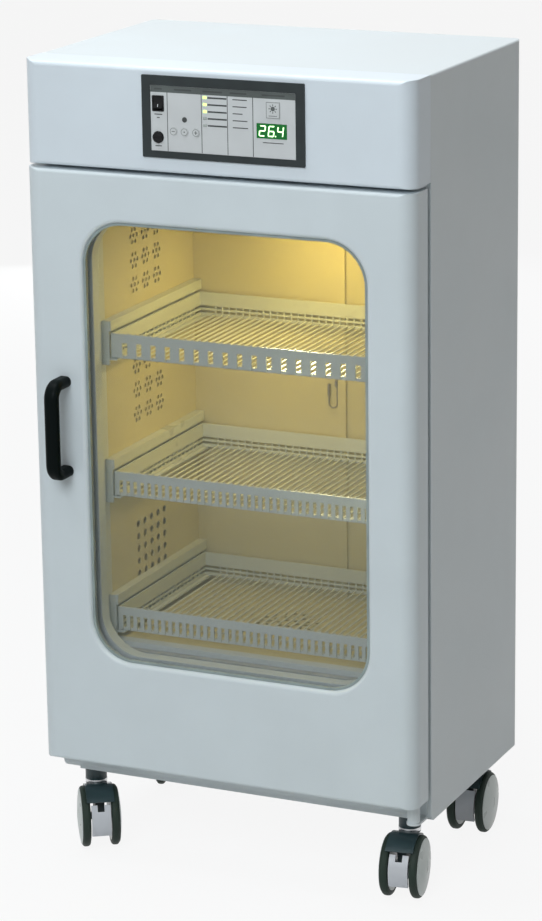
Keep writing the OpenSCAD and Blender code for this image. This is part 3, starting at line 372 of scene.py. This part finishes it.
spacer_metal = plated_steel("spacer_aluminium", (0.62, 0.63, 0.64), 0.4)
spacer_front, spacer_depth = unit_low.y + 0.0042, 0.0116
spacer = bmesh.new()
for inset in (0.0005, 0.0098):
    outline = rounded_outline(spacer, unit_low, unit_high, spacer_front, glass_corner, inset)
    for a, b in zip(outline, outline[1:] + outline[:1]):
        spacer.edges.new((a, b))
bmesh.ops.bridge_loops(spacer, edges=spacer.edges[:])
raise_faces(spacer, spacer.faces[:], (0, spacer_depth, 0))
spacer_piece = new_piece("glass_spacer", spacer, spacer_metal, "door", "steel")
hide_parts("glazing_unit")

# Window gasket and door seal: extruded rubber, in grey at the glass and in a paler
# grey where the door meets the body.
finish_node(moulded("gasket_rubber", (0.29, 0.345, 0.34), 0.55), "window_gasket")
finish_node(moulded("seal_rubber", (0.42, 0.44, 0.45), 0.6), "door_seal")

# Hinges: bent steel tongues with fixed pins, powder coated with the housing. The lower
# one is screwed to the front of the base, the upper one lies under the head.
finish_node(housing_paint, "door_hinges")

# Chamber: thin sheet, enamelled in a warm white, with rosettes of holes in the
# side walls that let the warm air through. Its colour is yellower than the enamel,
# because part of the chamber lamp's yellow light is painted into it.
lamp_tinted_enamel = powder_coat("chamber_lamp_tinted_enamel", (0.69, 0.635, 0.42), 0.42, 0.05, 0.0004)
finish_node(lamp_tinted_enamel, "left_duct_wall", "right_duct_wall", "chamber_back_wall",
            "chamber_ceiling", "chamber_floor")

# Runners and baskets: steel wire and flat bar, welded and dipped in grey epoxy. The
# baskets slide out on the runners of the side walls.
epoxy = powder_coat("grey_epoxy", (0.67, 0.71, 0.70), 0.32, 0.25, 0.0003)
finish_node(epoxy, "basket_runners", "top_basket", "middle_basket", "bottom_basket")

# Chamber lamp: an opal dome on a white base under the ceiling. One light glows under
# it, one throws a pool on the top basket, and one stands for light off the walls.
opal, opal_tree, opal_base, opal_place = new_finish("opal_lens")
tint(opal_tree, opal_base, speckle(opal_tree, opal_place, 45), (0.96, 0.88, 0.68),
     (1.0, 0.95, 0.80))
opal_base.inputs["Roughness"].default_value = 0.3
opal_base.inputs["Emission Color"].default_value = (1.0, 0.80, 0.42, 1)
opal_base.inputs["Emission Strength"].default_value = 1.6
finish_node(opal, "chamber_lamp")
lamp_low, lamp_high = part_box("chamber_lamp")
lamp_middle = (lamp_low + lamp_high) / 2
under_dome = Vector((lamp_middle.x, lamp_middle.y, lamp_low.z - 0.025))
glow = new_lamp("chamber_glow", "AREA", (1.0, 0.75, 0.19), 0.64)
glow.shape = "DISK"
glow.size = 0.10
hang_lamp(glow, under_dome)
pool = new_lamp("chamber_pool", "SPOT", (1.0, 0.86, 0.48), 38.0)
pool.spot_size = math.radians(34)
pool.spot_blend = 1.0
pool.shadow_soft_size = 0.02
pool_aim = (0.082, -0.074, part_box("top_basket")[0].z)
hang_lamp(pool, under_dome, pool_aim)
wall_low, wall_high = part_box("chamber_back_wall")
mid_chamber = ((wall_low.x + wall_high.x) / 2 - 0.04, wall_low.y - 0.16,
               wall_low.z + (wall_high.z - wall_low.z) * 0.52)
thrown = new_lamp("chamber_thrown", "POINT", (1.0, 0.74, 0.17), 0.42)
thrown.shadow_soft_size = 0.12
thrown_lamp = hang_lamp(thrown, mid_chamber)
thrown_lamp.visible_camera = False
thrown_lamp.visible_glossy = False

# Temperature probe: a wire in a dull steel sheath, which hangs in a loop from a clip
# on the back wall and measures the air there.
finish_node(plated_steel("probe_steel", (0.45, 0.42, 0.36), 0.4), "temperature_sensor")

# Insulation: slabs of mineral wool between the chamber and the housing, with coarse
# tangled fibres.
wool, wool_tree, wool_base, wool_place = new_finish("mineral_wool")
wool_base.inputs["Roughness"].default_value = 0.95
fibres = speckle(wool_tree, wool_place, 220, 8)
tint(wool_tree, wool_base, fibres, (0.42, 0.35, 0.16), (0.80, 0.72, 0.42))
emboss(wool_tree, wool_base, fibres, 0.9, 0.002)
finish_node(wool, "insulation")

# Parts behind the panels: the ring heater and the fan under the chamber floor, the
# zinc plated tray with the power supply, and the control board.
finish_node(plated_steel("heater_sheath", (0.30, 0.28, 0.27), 0.45), "heater_element")
finish_node(plated_steel("motor_case", (0.55, 0.56, 0.57), 0.35), "fan_motor", "power_supply")
finish_node(zinc, "instrument_tray")
finish_node(moulded("fan_black", (0.03, 0.03, 0.032), 0.45), "fan_impeller")
finish_node(moulded("board_green", (0.02, 0.13, 0.06), 0.4, 2600), "control_board")

# Control panel: a dark moulded frame round a printed plate, set into the head, with
# grey keys and a black switch, fuse holder and inlet.
finish_node(moulded("panel_frame", (0.024, 0.032, 0.034), 0.35, shine=0.3), "panel_bezel")
finish_node(moulded("panel_print", (0.64, 0.655, 0.665), 0.42, 2200, 0.05, 0.2), "panel_plate")
finish_node(moulded("key_grey", (0.62, 0.635, 0.64), 0.4, wear=0.2),
            "key_minus", "key_set", "key_plus", "lamp_key")
finish_node(moulded("switch_black", (0.006, 0.006, 0.007), 0.22, shine=0.22),
            "switch_housing", "rocker_switch", "fuse_holder", "fuse_cap", "mains_inlet")

# Print on the plate: a dark band along the top, dividers between the fields and plain
# bars in the place of words. Places are in mm from the plate's left and top edges.
plate_low, plate_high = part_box("panel_plate")
ink_thick = 0.00006


def block(mesh, size, place):
    """A small box of the given size, its middle at the given place."""
    corners = bmesh.ops.create_cube(mesh, size=1)["verts"]
    bmesh.ops.scale(mesh, verts=corners, vec=size)
    bmesh.ops.translate(mesh, verts=corners, vec=place)
    return corners


def ink(mesh, x0, z0, x1, z1, thick=ink_thick):
    """A printed patch on the plate, from one corner to the other."""
    middle = (plate_low.x + (x0 + x1) / 2000, plate_low.y - thick / 2,
              plate_high.z - (z0 + z1) / 2000)
    block(mesh, ((x1 - x0) / 1000, thick, (z1 - z0) / 1000), middle)


band = bmesh.new()
ink(band, 0.2, 0.2, 191.6, 8.2)
new_piece("print_band", band, moulded("ink_band", (0.085, 0.10, 0.097), 0.45), "cabinet",
          "panel_print")

row_first, row_pitch = 11.5, 8.45
state_bars = (128.5, 128.0, 122.5, 128.8, 129.5)
heading_bars = ((5.5, 15.5), (32, 55), (70, 96), (106, 128), (148, 178))
label_bars = ((5, 34.6, 15.5, 35.8), (8.2, 38.6, 12, 39.8), (5.4, 73.2, 14, 74.4),
              (149, 60.8, 176, 61.8))
lines = bmesh.new()
for x in (22.4, 68.1, 102.5, 136.1):
    ink(lines, x - 0.45, 8.0, x + 0.45, 79.4)
for row, state_end in enumerate(state_bars):
    z = row_first + row * row_pitch
    ink(lines, 76.2, z - 0.9, 101.6, z + 1.1)
    ink(lines, 109.5, z - 0.2, state_end, z + 1.0)
for x0, x1 in heading_bars:
    ink(lines, x0, 3.2, x1, 5.2, 0.0001)
for corners in label_bars:
    ink(lines, *corners)
disc(lines, (plate_low.x + 0.0453, plate_low.y - 0.0001, plate_high.z - 0.0401), 0.0033, 0.0002)
new_piece("print_lines", lines, moulded("ink_dark", (0.045, 0.052, 0.052), 0.5), "cabinet",
          "panel_print")

# Rings and signs on the round keys: minus, a dot and plus, printed in dark grey. They
# travel with the keys.
ring_radius, ring_inside = 0.0044, 0.90
key_signs = {"key_minus": ("minus_key", ((0.0042, 0.0008),)),
             "key_set": ("set_key", ((0.0016, 0.0016),)),
             "key_plus": ("plus_key", ((0.0042, 0.0008), (0.0008, 0.0042)))}


def face_middle(low, high):
    """The middle of the front face of a box."""
    return Vector(((low.x + high.x) / 2, low.y, (low.z + high.z) / 2))


for key, (body, bars) in key_signs.items():
    centre = face_middle(*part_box(key))
    marks = bmesh.new()
    ring = bmesh.ops.create_circle(marks, cap_ends=False, segments=32, radius=ring_radius)["verts"]
    bmesh.ops.rotate(marks, verts=ring, cent=(0, 0, 0),
                     matrix=Matrix.Rotation(math.radians(90), 3, "X"))
    bmesh.ops.translate(marks, verts=ring, vec=centre)
    inner = bmesh.ops.extrude_edge_only(marks, edges=marks.edges[:])
    bmesh.ops.scale(marks, verts=[v for v in inner["geom"] if isinstance(v, bmesh.types.BMVert)],
                    vec=(ring_inside, 1, ring_inside), space=Matrix.Translation(-centre))
    raise_faces(marks, marks.faces[:], (0, -ink_thick, 0))
    for wide, tall in bars:
        block(marks, (wide, ink_thick, tall), centre - Vector((0, ink_thick / 2, 0)))
    new_piece(key + "_sign", marks, moulded(key + "_ink", (0.10, 0.11, 0.11), 0.5), body,
              "panel_print")

# Sign on the lamp key: a frame, a small sun with rays and a bar under it, printed in
# dark grey. It travels with the key.
centre = face_middle(*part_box("lamp_key"))
sun_up, sun_radius, ray_count, ray_out = 0.0018, 0.0028, 8, 0.0045
sun = bmesh.new()
for dx, dz, wide, tall in ((0, 0.0094, 0.0174, 0.0005), (0, -0.0094, 0.0174, 0.0005),
                           (0.0085, 0, 0.0005, 0.0188), (-0.0085, 0, 0.0005, 0.0188),
                           (0, -0.0068, 0.0110, 0.0007)):
    block(sun, (wide, ink_thick, tall), centre + Vector((dx, -ink_thick / 2, dz)))
disc(sun, centre + Vector((0, -0.00004, sun_up)), sun_radius, 0.00008)
for i in range(ray_count):
    ray = block(sun, (0.0010, ink_thick, 0.0021), (0, 0, ray_out))
    bmesh.ops.rotate(sun, verts=ray, cent=(0, 0, 0),
                     matrix=Matrix.Rotation(math.tau * i / ray_count, 3, "Y"))
    bmesh.ops.translate(sun, verts=ray, vec=centre + Vector((0, -ink_thick / 2, sun_up)))
new_piece("lamp_key_sign", sun, moulded("lamp_key_ink", (0.10, 0.11, 0.11), 0.5), "light_key",
          "panel_print")


# Indicator lights: five clear lenses in a column beside the print, the upper three lit
# yellow-green.
def lit(name, color, strength, rough=0.25, shine=0.5):
    """A moulded lens that glows evenly."""
    mat, tree, base, place = new_finish(name)
    for socket, value in (("Base Color", (*color, 1)), ("Roughness", rough),
                          ("Specular IOR Level", shine), ("Emission Color", (*color, 1)),
                          ("Emission Strength", strength)):
        base.inputs[socket].default_value = value
    emboss(tree, base, speckle(tree, place, 1500), 0.1, 0.0001)
    return mat


led_low, led_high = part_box("indicator_leds")
led_middle = (led_low + led_high) / 2
led_on = lit("led_on", (0.62, 1.0, 0.22), 1.5)
led_off = lit("led_off", (0.42, 0.46, 0.44), 0.0)
led_tall, led_edge, leds_lit = 0.0032, 0.0004, 3
for row in range(5):
    lens = bmesh.new()
    block(lens, (led_high.x - led_low.x, led_high.y - led_low.y, led_tall),
          (led_middle.x, led_middle.y, led_high.z - led_tall / 2 - row * row_pitch / 1000))
    front_edges = [e for e in lens.edges if all(v.co.y < led_low.y + 0.001 for v in e.verts)]
    bmesh.ops.bevel(lens, geom=front_edges, offset=led_edge, segments=2, profile=0.5,
                    affect="EDGES", material=-1)
    piece = new_piece("led_%d" % (row + 1), lens, led_on if row < leds_lit else led_off,
                      "cabinet", "led")
    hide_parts("indicator_leds")

# Display: a green filter window with three digits of seven bars each, which lean a
# little and are lit pale green. The bars are named a to g in the usual way.
finish_node(lit("display_green", (0.002, 0.105, 0.016), 0.55, 0.12, 0.25), "display_window")
shown = face_middle(*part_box("display_window"))
digit_high, digit_wide, stroke, lean, bar_gap = 0.0120, 0.0070, 0.0017, 0.12, 0.0010
digit_bars = {"a": (0, 1, True), "g": (0, 0, True), "d": (0, -1, True), "f": (-1, 0.5, False),
              "b": (1, 0.5, False), "e": (-1, -0.5, False), "c": (1, -0.5, False)}
digits = bmesh.new()
for column, bars in ((-0.0122, "abged"), (-0.0004, "afgedc"), (0.0114, "fgbc")):
    for bar in bars:
        across, up, flat = digit_bars[bar]
        length = (digit_wide if flat else digit_high / 2) - bar_gap
        reach = (length - stroke) / 2 + 0.0004
        corners = bmesh.ops.create_circle(digits, cap_ends=True, segments=8,
                                          radius=stroke / 2)["verts"]
        bmesh.ops.rotate(digits, verts=corners, cent=(0, 0, 0),
                         matrix=Matrix.Rotation(math.radians(90), 3, "X"))
        for v in corners:
            if flat:
                v.co.x += math.copysign(reach, v.co.x)
            else:
                v.co.z += math.copysign(reach, v.co.z)
            v.co += Vector((across * digit_wide / 2, -ink_thick, up * digit_high / 2))
            v.co.x += v.co.z * lean + column
            v.co += shown
disc(digits, shown + Vector((0.0050, -0.00004, -0.0058)), 0.0009, 0.00008, steps=12)
new_piece("display_digits", digits, lit("digit_light", (0.62, 1.0, 0.50), 2.0), "cabinet",
          "display")

# Mark on the rocker: a short white bar, moulded flush with the lower half of its face.
# It tips with the rocker.
mark_size, mark_share = (0.0009, 0.0003, 0.0034), 0.30
rock_low, rock_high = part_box("rocker_switch")
rocker = bmesh.new()
rocker.from_mesh(frame["nodes"]["rocker_switch"].data)
rocker_face = BVHTree.FromBMesh(rocker)
rocker.free()
before_mark = Vector(((rock_low.x + rock_high.x) / 2, rock_low.y - 0.01,
                      rock_low.z + (rock_high.z - rock_low.z) * mark_share))
mark_place, mark_out, _, _ = rocker_face.ray_cast(before_mark, Vector((0, 1, 0)))
rocker_mark = bmesh.new()
corners = block(rocker_mark, mark_size, (0, 0, 0))
bmesh.ops.rotate(rocker_mark, verts=corners, cent=(0, 0, 0),
                 matrix=Vector((0, -1, 0)).rotation_difference(mark_out).to_matrix())
bmesh.ops.translate(rocker_mark, verts=corners, vec=mark_place)
new_piece("rocker_mark", rocker_mark, moulded("rocker_ink", (0.62, 0.64, 0.64), 0.5), "rocker",
          "panel_print")

# Casters: a dark stem carries a moulded fork with its hood, and a bright ring on top of
# it. Pedals in front and fixed shields at the rear are pale grey.
fork_grey = moulded("fork_grey", (0.022, 0.046, 0.052), 0.36)
shield_grey = moulded("shield_grey", (0.66, 0.67, 0.71), 0.4, wear=0.35)
finish_node(fork_grey, "caster_stems", "caster_fork_fl", "caster_fork_fr")
finish_node(shield_grey, "brake_pedal_fl", "brake_pedal_fr")
race_z, race_radius, race_thick, race_edge = 0.0815, 0.0144, 0.0045, 0.0004
for joint in frame["joints"]:
    if joint["name"].startswith("swivel_"):
        pivot = Vector(joint["pos_m"])
        ball_race = bmesh.new()
        disc(ball_race, (pivot.x, pivot.y, race_z), race_radius, race_thick, (0, 0, 1),
             race_edge, 36)
        new_piece("ball_race_" + joint["child"], ball_race, zinc, joint["child"], "steel")


# Rear forks: fork, axle and fixed shield share a node, so a copy of its mesh stands in
# its place, with the shield in pale grey. The shield is told by the height of its top.
def solids_of(mesh):
    """The separate solids of a mesh, each as a set of faces."""
    waiting = set(mesh.faces)
    while waiting:
        solid, fringe = set(), [waiting.pop()]
        while fringe:
            face = fringe.pop()
            solid.add(face)
            for near in {f for e in face.edges for f in e.link_faces} & waiting:
                waiting.discard(near)
                fringe.append(near)
        yield solid


shield_top_from, shield_top_to = 0.055, 0.070
for corner in ("rl", "rr"):
    node = "caster_fork_" + corner
    rear_fork = bmesh.new()
    rear_fork.from_mesh(frame["nodes"][node].data)
    bmesh.ops.remove_doubles(rear_fork, verts=rear_fork.verts, dist=0.000001)
    for solid in solids_of(rear_fork):
        top = max(v.co.z for f in solid for v in f.verts)
        for f in solid:
            f.material_index = 1 if shield_top_from < top < shield_top_to else 0
    piece = show_piece("rear_fork_" + corner, rear_fork, [fork_grey, shield_grey],
                       "swivel_" + corner, "fork", 32)
    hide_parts(node)

# Wheels: a dark tyre with rounded shoulders on a pale hub, whose domed cap is sunk a
# little in the middle. Both are spun round the axle from (radius, distance out) outlines.
tyre_grey = moulded("tyre_grey", (0.020, 0.034, 0.026), 0.62, 900, 0.25, shine=0.25)
cap_grey = moulded("cap_grey", (0.58, 0.64, 0.62), 0.32, wear=0.35)
tyre_outline = ((0.0336, 0.0137), (0.0360, 0.0136), (0.0377, 0.0140), (0.0389, 0.0149),
                (0.0397, 0.0161), (0.0400, 0.0176), (0.0400, 0.0203), (0.0397, 0.0218),
                (0.0389, 0.0230), (0.0377, 0.0239), (0.0360, 0.0243), (0.0336, 0.0243))
cap_outline = ((0.0055, 0.0137), (0.0333, 0.0137), (0.0333, 0.0246), (0.0364, 0.0246),
               (0.0365, 0.0249), (0.0350, 0.0253), (0.0300, 0.0261), (0.0200, 0.0274),
               (0.0100, 0.0282), (0.0078, 0.0283), (0.0074, 0.0280), (0.0002, 0.0280),
               (0.0002, 0.0249), (0.0055, 0.0249))
for joint in frame["joints"]:
    if not joint["name"].startswith("roll_"):
        continue
    body = joint["child"]
    axis = Vector(joint["axis"])
    hub = Vector(joint["pos_m"])
    low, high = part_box(body)
    out = axis if ((low + high) / 2 - hub).dot(axis) > 0 else -axis
    for part, mat, slot, outline in (("tyre", tyre_grey, "wheel", tyre_outline),
                                     ("cap", cap_grey, "shield", cap_outline)):
        wheel = bmesh.new()
        points = [wheel.verts.new(hub + out * h + Vector((0, 0, r))) for r, h in outline]
        rim = [wheel.edges.new((a, b)) for a, b in zip(points, points[1:] + points[:1])]
        bmesh.ops.spin(wheel, geom=points + rim, cent=hub, axis=out, angle=math.tau, steps=56,
                       use_merge=True)
        piece = new_piece(body + "_" + part, wheel, mat, body, slot, 30)
        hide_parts(body)
